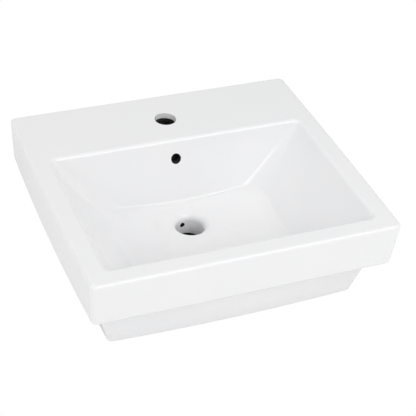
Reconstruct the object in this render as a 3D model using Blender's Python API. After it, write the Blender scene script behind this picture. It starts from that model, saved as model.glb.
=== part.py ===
"""Wall-fixed pedestal basin in vitreous china, with its left and right wall fixings.

Metres, +Z up. +X is to the right of someone standing at the basin, and +Y points into the wall.
The origin lies on the back plane, midway between the two fixing holes.
Depths are measured down from the deck, and insets inwards from the deck's outline.
"""

import math

import bmesh
import bpy

# ---- overall ------------------------------------------------------------------------------------
WIDTH = 0.483            # across the slightly bowed sides
DEPTH = 0.432            # front edge to wall
HEIGHT = 0.152           # foot to deck
FIXING_DROP = 0.048      # deck down to the fixing holes, which is the origin's height
FIXING_SPACING = 0.280   # between the two fixing holes

# ---- the casting's walls ------------------------------------------------------------------------
CHINA = 0.012            # apron, lower body and back panel
DECK_THICKNESS = 0.010
SHELL = 0.011            # the bowl's own wall
GAP = 0.0003             # running gap kept between touching pieces

# ---- outside shape ------------------------------------------------------------------------------
CORNER_RADIUS = 0.008    # upright corners of the slab
TOP_EDGE_RADIUS = 0.0045
SIDE_BOW = 0.0015        # how far each side swells at deck level
APRON_HEIGHT = 0.0755
APRON_DRAFT = 0.0043     # how far the apron leans in at its bottom edge
APRON_BOW = 0.0050       # swell of the sides at the apron's bottom edge
APRON_EDGE_RADIUS = 0.005
LEDGE_FILLET = 0.005
LEDGE_FALL = 0.001       # the ledge under the apron falls this much on its way in
STEP_FALL = 0.003        # the same step inside the casting falls this much
LOWER_SIDE_INSET = 0.022     # lower body below the apron, at its top
LOWER_FRONT_INSET = 0.029
FOOT_SIDE_INSET = 0.042      # the same at the foot
FOOT_FRONT_INSET = 0.0435
FOOT_BOW = 0.005         # swell of the lower body's front
LOWER_SIDE_BOW = 0.003
FOOT_EDGE = 0.003
LOWER_CORNER_RADIUS = 0.008

# ---- bowl ---------------------------------------------------------------------------------------
SIDE_RIM = 0.030         # rim beside the bowl, corner to corner
FRONT_RIM = 0.031
BACK_DECK = 0.130        # deck between the bowl and the wall
RIM_RADIUS = 0.005
BOWL_CORNER_RADIUS = 0.009
FLOOR_DEPTH = 0.093      # floor at the bowl's corners
FLOOR_SAG = 0.005        # how much lower the floor's edge is midway
SIDE_RUN = 0.081         # how far the side walls lean in on their way down
BACK_RUN = 0.035         # the same for the back wall
FRONT_RUN = 0.047        # the same for the front wall
FLOOR_CORNER_RADIUS = 0.030
FLOOR_FILLET = 0.004
WALL_CURVE = 1.2         # 1 is a flat wall, more is steeper near the rim

# ---- waste --------------------------------------------------------------------------------------
WASTE_SETBACK = 0.215    # waste's axis to the wall
WASTE_OFFSET = -0.006    # waste, overflow and passage lie this far from the tap hole's centre line
WASTE_RADIUS = 0.0225
DISH_RADIUS = 0.0365
DISH_DROP = 0.0105       # the dished ring's rim below the floor's corners
DISH_FALL = 0.008        # rim to the throat's mouth
WASTE_BOSS_WALL = 0.0145
WASTE_SEAT_RISE = 0.0095     # the boss's lower face above the foot

# ---- overflow -----------------------------------------------------------------------------------
OVERFLOW_RADIUS = 0.0083
OVERFLOW_DEPTH = 0.0305
PASSAGE_WIDTH = 0.024
PASSAGE_THICKNESS = 0.010
PASSAGE_WALL = 0.007

# ---- tap hole and fixing bosses -----------------------------------------------------------------
TAP_SETBACK = 0.069      # tap hole's axis to the wall
TAP_RADIUS = 0.0175
TAP_EDGE = 0.0008
FIXING_BUSH_WALL = 0.0024
FIXING_PAD_WALL = 0.012
FIXING_PAD_HEIGHT = 0.004

# ---- wall fixings -------------------------------------------------------------------------------
BOLT_RADIUS = 0.005
BOLT_TAIL = 0.008        # thread showing past the nut
BOLT_EMBED = 0.0416      # length inside the wall, which makes the whole bolt 80 mm long
BOLT_CHAMFER = 0.001
WOOD_THREAD = 0.0012     # how far the wood screw's core lies under the shank
WOOD_LENGTH = 0.034
WOOD_POINT = 0.009
PLUG_WALL = 0.0017
PLUG_LENGTH = 0.050
PLUG_TIP_WALL = 0.0007
PLUG_TIP = 0.006
PLUG_RIB = 0.0006
PLUG_RIB_COUNT = 5
PLUG_SLIT_WIDTH = 0.0014
PLUG_SLIT_START = 0.015
FLANGE_REACH = 0.006     # how far the bush's flange stands past its hole
FLANGE_THICKNESS = 0.003
BUSH_SHORTFALL = 0.001   # how far the bush stays inside the back plane
WASHER_WIDTH = 0.0072    # ring width, bore to rim
WASHER_THICKNESS = 0.0025
NUT_WALL = 0.0032        # bore to flat
NUT_THICKNESS = 0.008
NUT_CHAMFER = 0.0012

# ---- fineness -----------------------------------------------------------------------------------
CORNER_SPANS = 5
EDGE_SPANS = 4
RING_COUNT = 4 * (CORNER_SPANS + EDGE_SPANS)
ARC_STEPS = 3
TURNED_COUNT = 24
WALL_STEPS = 4
CUT_OVERRUN = 0.004      # how far a cutter runs past the face it opens
PAD_SINK = 0.003         # how far an added pad is sunk into its wall
SHARP_ANGLE = math.radians(35)

# ---- materials: colour, roughness, metallic -----------------------------------------------------
MATERIALS = {
    'glazed_china': ((0.93, 0.93, 0.94), 0.08, 0.0),
    'zinc_steel': ((0.66, 0.67, 0.68), 0.35, 1.0),
    'white_nylon': ((0.85, 0.85, 0.82), 0.45, 0.0),
    'grey_nylon': ((0.55, 0.56, 0.57), 0.5, 0.0),
}

HALF = WIDTH / 2 - SIDE_BOW
WASTE_Y = -WASTE_SETBACK
DISH_DEPTH = FLOOR_DEPTH + DISH_DROP
THROAT_DEPTH = DISH_DEPTH + DISH_FALL
BOSS_DEPTH = HEIGHT - WASTE_SEAT_RISE
OUTLET_DEPTH = (THROAT_DEPTH + BOSS_DEPTH) / 2
BOLT_BORE = BOLT_RADIUS + GAP
FIXING_HOLE_RADIUS = BOLT_BORE + FIXING_BUSH_WALL + GAP
PLUG_RADIUS = BOLT_BORE + PLUG_WALL


def at(depth):
    """Height of a point that lies this far below the deck."""
    return FIXING_DROP - depth


# ---- rings and lofts ----------------------------------------------------------------------------

def outline(depth, side, front, back, radius, side_bow=0.0, front_bow=0.0, sag=0.0):
    """Rounded rectangle inset from the deck's outline, anticlockwise seen from above."""
    right, near, far = HALF - side, front - DEPTH, -back
    centres = [(right - radius, near + radius), (right - radius, far - radius),
               (radius - right, far - radius), (radius - right, near + radius)]
    bows = [side_bow, 0.0, side_bow, front_bow]
    points = []
    for corner, (centre_x, centre_y) in enumerate(centres):
        for step in range(CORNER_SPANS + 1):
            angle = math.radians(90 * (corner - 1 + step / CORNER_SPANS))
            points.append((centre_x + radius * math.cos(angle),
                           centre_y + radius * math.sin(angle), at(depth)))
        start = points[-1]
        next_x, next_y = centres[(corner + 1) % 4]
        normal = math.radians(90 * corner)
        end = (next_x + radius * math.cos(normal), next_y + radius * math.sin(normal))
        for step in range(1, EDGE_SPANS):
            share = step / EDGE_SPANS
            swell = 4 * share * (1 - share)
            bow = bows[corner] * swell
            points.append((start[0] + (end[0] - start[0]) * share + bow * math.cos(normal),
                           start[1] + (end[1] - start[1]) * share + bow * math.sin(normal),
                           at(depth + sag * swell)))
    return points


def waste_ring(depth, radius):
    """Circle about the waste's axis, with the same points round it as an outline has."""
    turn = 2 * math.pi / RING_COUNT
    first = -math.pi / 2 + turn * EDGE_SPANS / 2
    angles = [first + turn * i for i in range(RING_COUNT)]
    return [(WASTE_OFFSET + radius * math.cos(angle), WASTE_Y + radius * math.sin(angle), at(depth))
            for angle in angles]


def quarter(steps):
    """Sine and cosine pairs from 0 to 90 degrees."""
    angles = [math.pi / 2 * i / steps for i in range(steps + 1)]
    return [(math.sin(angle), math.cos(angle)) for angle in angles]


def loft(name, rings, closed):
    """Skin the rings in order; a closed loft joins the last to the first, an open one is capped."""
    mesh = bpy.data.meshes.new(name)
    shape = bmesh.new()
    rows = [[shape.verts.new(point) for point in ring] for ring in rings]
    count = len(rows[0])
    pairs = list(zip(rows, rows[1:]))
    if closed:
        pairs.append((rows[-1], rows[0]))
    for low, high in pairs:
        for i in range(count):
            j = (i + 1) % count
            shape.faces.new((low[i], low[j], high[j], high[i]))
    if not closed:
        shape.faces.new(list(reversed(rows[0])))
        shape.faces.new(rows[-1])
    bmesh.ops.recalc_face_normals(shape, faces=shape.faces)
    if shape.calc_volume(signed=True) < 0:
        bmesh.ops.reverse_faces(shape, faces=shape.faces)
    shape.to_mesh(mesh)
    shape.free()
    mesh.shade_smooth()
    mesh.set_sharp_from_angle(angle=SHARP_ANGLE)
    piece = bpy.data.objects.new(name, mesh)
    bpy.context.scene.collection.objects.link(piece)
    return piece


def turned(name, profile, centre, axis, closed, radius_of=None):
    """Turn (distance along axis, radius) pairs about an axis, 'Y' or 'Z', through the centre."""
    rings = []
    for distance, radius in profile:
        ring = []
        for i in range(TURNED_COUNT):
            angle = 2 * math.pi * i / TURNED_COUNT
            reach = radius_of(angle, radius) if radius_of else radius
            across, up = reach * math.cos(angle), reach * math.sin(angle)
            offset = (across, distance, up) if axis == 'Y' else (across, up, distance)
            ring.append(tuple(c + o for c, o in zip(centre, offset)))
        rings.append(ring)
    return loft(name, rings, closed)


def combine(target, tool, operation):
    """Keep a live Boolean on the target and hide its tool."""
    modifier = target.modifiers.new(tool.name, 'BOOLEAN')
    modifier.operation = operation
    modifier.object = tool
    modifier.solver = 'EXACT'
    tool.hide_render = True
    tool.display_type = 'WIRE'


def finish(piece, material_name):
    """Give a piece its material, shared by name."""
    material = bpy.data.materials.get(material_name)
    if material is None:
        material = bpy.data.materials.new(material_name)
        material.use_nodes = True
        colour, roughness, metallic = MATERIALS[material_name]
        shader = material.node_tree.nodes['Principled BSDF']
        shader.inputs['Base Color'].default_value = (*colour, 1.0)
        shader.inputs['Roughness'].default_value = roughness
        shader.inputs['Metallic'].default_value = metallic
    piece.data.materials.append(material)


# ---- the casting --------------------------------------------------------------------------------

def outer_rings():
    """Outside of the casting, from the foot up to the edge of the deck."""
    def lower(depth, extra=0.0):
        share = (depth - APRON_HEIGHT) / (HEIGHT - APRON_HEIGHT)
        side = LOWER_SIDE_INSET + (FOOT_SIDE_INSET - LOWER_SIDE_INSET) * share + extra
        front = LOWER_FRONT_INSET + (FOOT_FRONT_INSET - LOWER_FRONT_INSET) * share + extra
        back = extra if depth == HEIGHT else 0.0
        return outline(depth, side, front, back, LOWER_CORNER_RADIUS, LOWER_SIDE_BOW, FOOT_BOW)

    def apron(depth, inset, back=0.0):
        share = max(depth - TOP_EDGE_RADIUS, 0.0) / (APRON_HEIGHT - TOP_EDGE_RADIUS)
        lean = APRON_DRAFT * share + inset
        bow = SIDE_BOW + (APRON_BOW - SIDE_BOW) * share
        return outline(depth, lean, lean, back, CORNER_RADIUS, bow)

    rings = [lower(HEIGHT, FOOT_EDGE), lower(HEIGHT - FOOT_EDGE)]
    ledge = APRON_HEIGHT + LEDGE_FALL
    for sine, cosine in quarter(ARC_STEPS):
        rings.append(lower(ledge + LEDGE_FILLET * (1 - sine), -LEDGE_FILLET * (1 - cosine)))
    for sine, cosine in quarter(ARC_STEPS):
        rings.append(apron(APRON_HEIGHT - APRON_EDGE_RADIUS * (1 - cosine), APRON_EDGE_RADIUS * (1 - sine)))
    for sine, cosine in quarter(ARC_STEPS):
        inset = TOP_EDGE_RADIUS * (1 - cosine)
        rings.append(apron(TOP_EDGE_RADIUS * (1 - sine), inset, inset))
    return rings


def bowl_ring(share, grow=0.0, drop=0.0, wall=0.0):
    """One level of the bowl: share runs from 0 at the rim to 1 at the floor.

    grow widens the level, and wall widens it by a wall's thickness measured square to each side.
    """
    run = share ** WALL_CURVE
    side = SIDE_RIM + SIDE_RUN * run - grow - wall * slant(SIDE_RUN)
    front = FRONT_RIM + FRONT_RUN * run - grow - wall * slant(FRONT_RUN)
    back = BACK_DECK + BACK_RUN * run - grow - wall * slant(BACK_RUN)
    radius = BOWL_CORNER_RADIUS + (FLOOR_CORNER_RADIUS - BOWL_CORNER_RADIUS) * run + grow + wall
    return outline(FLOOR_DEPTH * share + drop, side, front, back, radius, sag=FLOOR_SAG * share ** 2)


def slant(run):
    """How much wider a leaning wall measures level than square to its face."""
    return math.hypot(run, FLOOR_DEPTH) / FLOOR_DEPTH


def bowl_rings():
    """Inside of the bowl, from the rim down through the waste's throat."""
    rim_share = RIM_RADIUS / FLOOR_DEPTH
    rings = []
    for sine, cosine in quarter(ARC_STEPS):
        rings.append(bowl_ring(rim_share * (1 - cosine), RIM_RADIUS * (1 - sine)))
    fillet_share = 1 - FLOOR_FILLET / FLOOR_DEPTH
    for step in range(1, WALL_STEPS + 1):
        rings.append(bowl_ring(rim_share + (fillet_share - rim_share) * step / WALL_STEPS))
    rings.append(bowl_ring(1.0, -FLOOR_FILLET))
    rings.append(waste_ring(DISH_DEPTH, DISH_RADIUS))
    for sine, cosine in quarter(ARC_STEPS)[1:]:
        rings.append(waste_ring(DISH_DEPTH + DISH_FALL * (1 - cosine),
                                WASTE_RADIUS + (DISH_RADIUS - WASTE_RADIUS) * (1 - sine)))
    rings.append(waste_ring(BOSS_DEPTH, WASTE_RADIUS))
    return rings


def underside_rings():
    """Hidden side of the casting, from the waste boss out to the inside of the foot."""
    boss = WASTE_RADIUS + WASTE_BOSS_WALL
    rings = [waste_ring(BOSS_DEPTH, boss), waste_ring(DISH_DEPTH + SHELL + FLOOR_SAG, boss)]
    rings.append(bowl_ring(1.0, drop=SHELL))
    ceiling_share = DECK_THICKNESS / FLOOR_DEPTH
    for step in range(WALL_STEPS + 1):
        rings.append(bowl_ring(1.0 + (ceiling_share - 1.0) * step / WALL_STEPS, wall=SHELL))
    step_depth = APRON_HEIGHT - CHINA
    lower_inset = LOWER_SIDE_INSET + CHINA
    lower_front = LOWER_FRONT_INSET + CHINA
    corner = LOWER_CORNER_RADIUS
    rings.append(outline(DECK_THICKNESS, CHINA, CHINA, CHINA, CORNER_RADIUS))
    rings.append(outline(step_depth, CHINA + APRON_DRAFT, CHINA + APRON_DRAFT, CHINA, CORNER_RADIUS))
    rings.append(outline(step_depth + STEP_FALL, lower_inset, lower_front, CHINA, corner))
    rings.append(outline(HEIGHT, FOOT_SIDE_INSET + CHINA, FOOT_FRONT_INSET + CHINA, CHINA, corner))
    return rings


def swept_box(name, path, width, thickness):
    """Rectangular duct above the waste's centre line, square to its path of (y, depth) points."""
    rings = []
    for i, (y, depth) in enumerate(path):
        before, after = path[max(i - 1, 0)], path[min(i + 1, len(path) - 1)]
        along_y, along_depth = after[0] - before[0], after[1] - before[1]
        length = math.hypot(along_y, along_depth)
        side_y, side_depth = along_depth / length * thickness / 2, -along_y / length * thickness / 2
        half = width / 2
        rings.append([(WASTE_OFFSET + x, y + s * side_y, at(depth + s * side_depth))
                      for x, s in ((half, 1), (half, -1), (-half, -1), (-half, 1))])
    return loft(name, rings, closed=False)


def wall_y(depth):
    """Where the bowl's back wall is at this depth, midway across."""
    return -BACK_DECK - BACK_RUN * (depth / FLOOR_DEPTH) ** WALL_CURVE


def passage_path(top, bottom_y):
    """Centre line of the overflow passage: down behind the bowl, then under it to the throat."""
    behind = SHELL + PASSAGE_THICKNESS / 2
    middle = (top + FLOOR_DEPTH) / 2
    elbow = (WASTE_Y + WASTE_RADIUS + WASTE_BOSS_WALL + PASSAGE_THICKNESS, OUTLET_DEPTH - PASSAGE_WALL / 2)
    return [(wall_y(top) + behind, top), (wall_y(middle) + behind, middle),
            (wall_y(FLOOR_DEPTH) + behind, FLOOR_DEPTH + PASSAGE_WALL), elbow, (bottom_y, OUTLET_DEPTH)]


def add_overflow(basin):
    """The duct cast behind the bowl, its hollow, and the round hole in the bowl's wall."""
    duct_top = OVERFLOW_DEPTH - OVERFLOW_RADIUS - PASSAGE_WALL
    boss_inside = WASTE_Y + WASTE_RADIUS + PAD_SINK
    duct = swept_box('overflow_duct_form', passage_path(duct_top, boss_inside),
                     PASSAGE_WIDTH + 2 * PASSAGE_WALL, PASSAGE_THICKNESS + 2 * PASSAGE_WALL)
    combine(basin, duct, 'UNION')
    hollow_top = OVERFLOW_DEPTH - OVERFLOW_RADIUS
    hollow = swept_box('overflow_hollow_cutter', passage_path(hollow_top, WASTE_Y + WASTE_RADIUS / 2),
                       PASSAGE_WIDTH, PASSAGE_THICKNESS)
    combine(basin, hollow, 'DIFFERENCE')
    mouth = wall_y(OVERFLOW_DEPTH)
    hole = turned('overflow_hole_cutter',
                  [(-SHELL, OVERFLOW_RADIUS), (SHELL + PASSAGE_THICKNESS / 2, OVERFLOW_RADIUS)],
                  (WASTE_OFFSET, mouth, at(OVERFLOW_DEPTH)), 'Y', closed=False)
    combine(basin, hole, 'DIFFERENCE')


def add_tap_hole(basin):
    """Tap hole through the deck, with its eased edge."""
    hole = turned('tap_hole_cutter', [(-DECK_THICKNESS - CUT_OVERRUN, TAP_RADIUS),
                                      (-TAP_EDGE, TAP_RADIUS),
                                      (CUT_OVERRUN, TAP_RADIUS + TAP_EDGE + CUT_OVERRUN)],
                  (0.0, -TAP_SETBACK, at(0.0)), 'Z', closed=False)
    combine(basin, hole, 'DIFFERENCE')


def add_fixing_holes(basin):
    """Pads on the inside of the back panel and the two bolt holes through them."""
    seat = CHINA + FIXING_PAD_HEIGHT
    for side, x in fixing_places():
        pad = turned('fixing_pad_form_' + side, [(-seat, FIXING_HOLE_RADIUS + FIXING_PAD_WALL),
                                                 (PAD_SINK - CHINA, FIXING_HOLE_RADIUS + FIXING_PAD_WALL)],
                     (x, 0.0, 0.0), 'Y', closed=False)
        combine(basin, pad, 'UNION')
        hole = turned('fixing_hole_cutter_' + side, [(-seat - CUT_OVERRUN, FIXING_HOLE_RADIUS),
                                                     (CUT_OVERRUN, FIXING_HOLE_RADIUS)],
                      (x, 0.0, 0.0), 'Y', closed=False)
        combine(basin, hole, 'DIFFERENCE')


def make_basin():
    basin = loft('basin', outer_rings() + bowl_rings() + underside_rings(), closed=True)
    add_overflow(basin)
    add_tap_hole(basin)
    add_fixing_holes(basin)
    finish(basin, 'glazed_china')


# ---- wall fixings -------------------------------------------------------------------------------

def fixing_places():
    return (('left', -FIXING_SPACING / 2), ('right', FIXING_SPACING / 2))


def fixing_stack():
    """Front faces of the bush's flange, the washer and the nut, going away from the wall."""
    flange = -(CHINA + FIXING_PAD_HEIGHT + GAP + FLANGE_THICKNESS)
    washer = flange - GAP - WASHER_THICKNESS
    nut = washer - GAP - NUT_THICKNESS
    return flange, washer, nut


def make_bush(side, centre):
    """Nylon bush that centres the bolt in the china and pads it under the washer."""
    front = fixing_stack()[0]
    tube = FIXING_HOLE_RADIUS - GAP
    flange = FIXING_HOLE_RADIUS + FLANGE_REACH
    bush = turned('collar_bush_' + side,
                  [(front, BOLT_BORE), (front, flange), (front + FLANGE_THICKNESS, flange),
                   (front + FLANGE_THICKNESS, tube), (-BUSH_SHORTFALL, tube), (-BUSH_SHORTFALL, BOLT_BORE)],
                  centre, 'Y', closed=True)
    finish(bush, 'white_nylon')


def make_washer(side, centre):
    front = fixing_stack()[1]
    back = front + WASHER_THICKNESS
    rim = BOLT_BORE + WASHER_WIDTH
    washer = turned('washer_' + side, [(front, BOLT_BORE), (front, rim), (back, rim), (back, BOLT_BORE)],
                    centre, 'Y', closed=True)
    finish(washer, 'zinc_steel')


def hexagon(angle, limit):
    """Reach of the nut's hexagon at this angle, no further than a chamfer's limit."""
    from_flat = (angle + math.pi / 6) % (math.pi / 3) - math.pi / 6
    return min(limit, (BOLT_BORE + NUT_WALL) / math.cos(from_flat))


def make_nut(side, centre):
    """Hexagon nut, chamfered at both ends."""
    front = fixing_stack()[2]
    back = front + NUT_THICKNESS
    face = BOLT_BORE + NUT_WALL - NUT_CHAMFER / 2
    corner = 2 * (BOLT_BORE + NUT_WALL)
    nut = turned('nut_' + side,
                 [(front, BOLT_BORE), (front, face), (front + NUT_CHAMFER, corner),
                  (back - NUT_CHAMFER, corner), (back, face), (back, BOLT_BORE)],
                 centre, 'Y', closed=True, radius_of=hexagon)
    finish(nut, 'zinc_steel')


def make_bolt(side, centre):
    """Hanger bolt: plain and machine-threaded length in front, pointed wood screw in the wall."""
    front = fixing_stack()[2] - BOLT_TAIL
    wood_start = BOLT_EMBED - WOOD_LENGTH
    core = BOLT_RADIUS - WOOD_THREAD
    bolt = turned('hanger_bolt_' + side,
                  [(front, BOLT_RADIUS - BOLT_CHAMFER), (front + BOLT_CHAMFER, BOLT_RADIUS),
                   (wood_start, BOLT_RADIUS), (wood_start + WOOD_THREAD, core),
                   (BOLT_EMBED - WOOD_POINT, core), (BOLT_EMBED, BOLT_CHAMFER / 2)],
                  centre, 'Y', closed=False)
    finish(bolt, 'zinc_steel')


def make_plug(side, centre):
    """Ribbed nylon wall plug, slit from its tip so that it can spread."""
    straight = PLUG_LENGTH - PLUG_TIP
    profile = [(GAP, BOLT_BORE), (GAP, PLUG_RADIUS)]
    pitch = (straight - GAP) / PLUG_RIB_COUNT
    for i in range(1, PLUG_RIB_COUNT):
        profile.append((GAP + pitch * i - PLUG_RIB, PLUG_RADIUS))
        profile.append((GAP + pitch * i, PLUG_RADIUS - PLUG_RIB))
    profile += [(straight, PLUG_RADIUS), (PLUG_LENGTH, BOLT_BORE + PLUG_TIP_WALL), (PLUG_LENGTH, BOLT_BORE)]
    plug = turned('wall_plug_' + side, profile, centre, 'Y', closed=True)
    reach, half = PLUG_RADIUS + CUT_OVERRUN, PLUG_SLIT_WIDTH / 2
    ends = (PLUG_SLIT_START, PLUG_LENGTH + CUT_OVERRUN)
    corners = ((reach, half), (reach, -half), (-reach, -half), (-reach, half))
    slit = loft('plug_slit_cutter_' + side, [[(centre[0] + x, y, z) for x, z in corners] for y in ends],
                closed=False)
    combine(plug, slit, 'DIFFERENCE')
    finish(plug, 'grey_nylon')


def build():
    for leftover in list(bpy.data.objects):
        bpy.data.objects.remove(leftover, do_unlink=True)
    make_basin()
    for side, x in fixing_places():
        centre = (x, 0.0, 0.0)
        for make in (make_bolt, make_plug, make_bush, make_washer, make_nut):
            make(side, centre)


build()
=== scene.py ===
"""Looks of the pedestal basin: the glazed casting and its bolts, plugs, bushes, washers and nuts."""
import math

import bmesh
import bpy
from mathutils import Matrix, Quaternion, Vector


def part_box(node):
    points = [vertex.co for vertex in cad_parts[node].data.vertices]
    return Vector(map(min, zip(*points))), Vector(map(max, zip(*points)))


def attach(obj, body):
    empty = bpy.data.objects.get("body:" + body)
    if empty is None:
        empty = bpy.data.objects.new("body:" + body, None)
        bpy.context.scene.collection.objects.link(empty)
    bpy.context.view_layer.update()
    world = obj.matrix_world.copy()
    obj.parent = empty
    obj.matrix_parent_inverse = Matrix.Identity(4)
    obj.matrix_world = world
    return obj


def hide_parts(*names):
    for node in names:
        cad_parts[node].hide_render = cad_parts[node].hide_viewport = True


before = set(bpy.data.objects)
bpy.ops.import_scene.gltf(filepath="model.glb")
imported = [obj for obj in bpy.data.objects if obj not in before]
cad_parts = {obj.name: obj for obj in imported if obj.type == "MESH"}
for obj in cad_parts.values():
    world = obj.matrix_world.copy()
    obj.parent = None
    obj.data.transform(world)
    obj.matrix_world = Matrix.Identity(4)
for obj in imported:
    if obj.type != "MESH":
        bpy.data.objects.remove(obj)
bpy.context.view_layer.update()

# ---- places taken from the frame ----------------------------------------------------------------
LOW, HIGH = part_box("basin")
DECK = HIGH.z
HEIGHT = HIGH.z - LOW.z
BACK = HIGH.y
DEPTH = HIGH.y - LOW.y
SIDE_BOW = 0.0015                           # the deck's sides bow out by this at their middles
HALF = (HIGH.x - LOW.x) / 2 - SIDE_BOW

# ---- casting, in metres; depths are measured down from the deck ---------------------------------
CHINA = 0.012
DECK_THICKNESS = 0.010
SHELL = 0.011
CORNER_RADIUS = 0.008
TOP_EDGE = 0.0045
APRON_HEIGHT = 0.0755
APRON_DRAFT = 0.0043                        # how far the apron leans in from the deck to the ledge
APRON_BOW = 0.0050                          # bow of its sides at the ledge
APRON_EDGE = 0.005
LEDGE_FILLET = 0.005
LEDGE_FALL = 0.001
STEP_FALL = 0.003                           # the same ledge seen from inside
LOWER_SIDE, LOWER_FRONT = 0.022, 0.029      # the lower body, in from the deck's outline, at the ledge
FOOT_SIDE, FOOT_FRONT = 0.042, 0.0435       # and at the foot
FOOT_FRONT_BOW, FOOT_SIDE_BOW = 0.005, 0.003
FOOT_EDGE = 0.003
LOWER_CORNER = 0.008
SIDE_RIM, FRONT_RIM, BACK_DECK = 0.030, 0.031, 0.130        # width of the deck round the bowl
RIM_RADIUS = 0.005
BOWL_CORNER, FLOOR_CORNER = 0.009, 0.034
FLOOR_DEPTH, FLOOR_SAG, FLOOR_FILLET = 0.093, 0.005, 0.005
SIDE_TUCK, FRONT_TUCK, BACK_TUCK = 0.030, 0.012, 0.004      # reach of the rounding onto the floor
SIDE_RUN, BACK_RUN, FRONT_RUN = 0.081, 0.035, 0.047         # lean of each wall from rim to floor
WALL_CURVE = 1.2                            # above 1, a wall leans more the deeper it is
WASTE_X, WASTE_Y, WASTE_RADIUS = -0.006, BACK - 0.215, 0.0225
DISH_RADIUS, DISH_DEPTH, THROAT_DEPTH = 0.0365, 0.1035, 0.1165
BOSS_RADIUS, BOSS_DEPTH = 0.037, HEIGHT - 0.0095
OVERFLOW_RADIUS, OVERFLOW_DEPTH = 0.0083, 0.0305
PASSAGE_WIDTH, PASSAGE_THICKNESS, PASSAGE_WALL = 0.024, 0.010, 0.007
OUTLET_DEPTH = 0.127
ELBOW_RADIUS, ELBOW_SPANS = 0.022, 6
OUTLET_RADIUS, OUTLET_OFFSET, OUTLET_TOP = 0.0042, -0.004, 0.1235      # the hole into the throat
TAP_SETBACK, TAP_RADIUS, TAP_EDGE = 0.069, 0.0175, 0.0005
FIXING_HOLE, FIXING_PAD, PAD_HEIGHT = 0.008, 0.020, 0.004
PAD_EDGE = 0.001                            # chamfer round a pad's face
OVERFLOW_EDGE = 0.0005
DUCT_CORNER, HOLLOW_CORNER = 0.006, 0.0035
INNER_FILLET = 0.005                        # inside the shell, under the deck
STEP_TURN = 0.003                           # the same, at the step behind the ledge
BOSS_EDGE, BOSS_FILLET = 0.0015, 0.004
FOOT_INNER_EDGE = 0.0015
DISH_SLOPE, DISH_SLOPE_FALL = 0.0035, 0.0010      # the gentle slope outside the dish
OVERRUN = 0.004                             # how far a cutter reaches past the face it goes through
SINK = 0.003                                # how far a joined body reaches into the china

# ---- fineness -----------------------------------------------------------------------------------
CORNER_SPANS = 8
STRAIGHT_SPANS = 12
RING_COUNT = 4 * (CORNER_SPANS + STRAIGHT_SPANS)
STRAIGHT_LENGTH = 0.05      # edges longer than this are the straight sides of a new ring
FLOOR_CUTS = 5
SUPPORT = 0.0012            # distance of the ring that keeps a flat face flat up to its rounded edge
NEAR = 0.0003               # how close a point has to be to count as on an edge
SAME_PLACE, MERGE = 1e-5, 1e-6
SMOOTH_ANGLE, FIXING_ANGLE = math.radians(32), math.radians(40)


def at(depth):
    return DECK - depth


# ---- working in edit mode -----------------------------------------------------------------------

def deselect():
    bpy.ops.object.select_all(action="DESELECT")


def choose(piece):
    """Select this object alone and make it the active one."""
    deselect()
    bpy.context.view_layer.objects.active = piece
    piece.select_set(True)


def start(name):
    """A new mesh object at the origin, in edit mode, ready for its first primitive."""
    deselect()
    bpy.ops.object.add(type="MESH", location=(0, 0, 0), enter_editmode=True)
    piece = bpy.context.object
    piece.name = name
    piece.data.name = name
    bpy.ops.mesh.select_mode(type="VERT")
    return piece


def leave():
    bpy.ops.object.mode_set(mode="OBJECT")


def pick(piece, kind, test):
    """Select the verts, edges or faces for which the test holds, and nothing else."""
    bpy.ops.mesh.select_mode(type={"verts": "VERT", "edges": "EDGE", "faces": "FACE"}[kind])
    bpy.ops.mesh.select_all(action="DESELECT")
    mesh = bmesh.from_edit_mesh(piece.data)
    for item in getattr(mesh, kind):
        if test(item):
            item.select_set(True)
    mesh.select_flush_mode()
    bmesh.update_edit_mesh(piece.data)


def keep_as(piece, name):
    """Remember the selected points as a group."""
    group = piece.vertex_groups.new(name=name)
    piece.vertex_groups.active_index = group.index
    bpy.ops.object.vertex_group_assign()


def select_groups(piece, names):
    bpy.ops.mesh.select_mode(type="VERT")
    bpy.ops.mesh.select_all(action="DESELECT")
    for name in names:
        piece.vertex_groups.active_index = piece.vertex_groups[name].index
        bpy.ops.object.vertex_group_select()


def in_group(piece, name):
    """A test for the points of this group."""
    index = piece.vertex_groups[name].index
    layer = bmesh.from_edit_mesh(piece.data).verts.layers.deform.active
    return lambda v: index in v[layer]


def move(piece, names, value):
    select_groups(piece, names)
    bpy.ops.transform.translate(value=value)


def bridge(piece, first, second, apart=(0, 0, -1)):
    """Join two rings. The second is held apart meanwhile, because a ring that is joined already
    and lies in one plane with the next can be joined to it the wrong way round."""
    move(piece, (second,), apart)
    select_groups(piece, (first, second))
    bpy.ops.mesh.bridge_edge_loops()
    move(piece, (second,), [-part for part in apart])


def split_between(piece, first, second, cuts):
    """Add rings between two that are already joined."""
    layer = bmesh.from_edit_mesh(piece.data).verts.layers.deform.active
    ends = {piece.vertex_groups[first].index, piece.vertex_groups[second].index}
    pick(piece, "edges", lambda e: {key for v in e.verts for key in v[layer].keys()} == ends)
    bpy.ops.mesh.subdivide_edgering(number_cuts=cuts, interpolation="LINEAR")


def cap(piece, name):
    select_groups(piece, (name,))
    bpy.ops.mesh.edge_face_add()


def face_outwards():
    bpy.ops.mesh.select_all(action="SELECT")
    bpy.ops.mesh.remove_doubles(threshold=MERGE)
    bpy.ops.mesh.normals_make_consistent(inside=False)


def apply_modifier(piece, kind, **settings):
    choose(piece)
    modifier = piece.modifiers.new(kind.lower(), kind)
    for key, value in settings.items():
        setattr(modifier, key, value)
    bpy.ops.object.modifier_apply(modifier=modifier.name)


def combine(target, tool, operation, finish=None):
    """Join or cut with a tool that is then thrown away; the faces it makes may get its finish."""
    tool.data.materials.append(finish or target.data.materials[0])
    apply_modifier(target, "BOOLEAN", object=tool, operation=operation, solver="EXACT",
                   material_mode="TRANSFER")
    bpy.data.objects.remove(tool)


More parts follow.
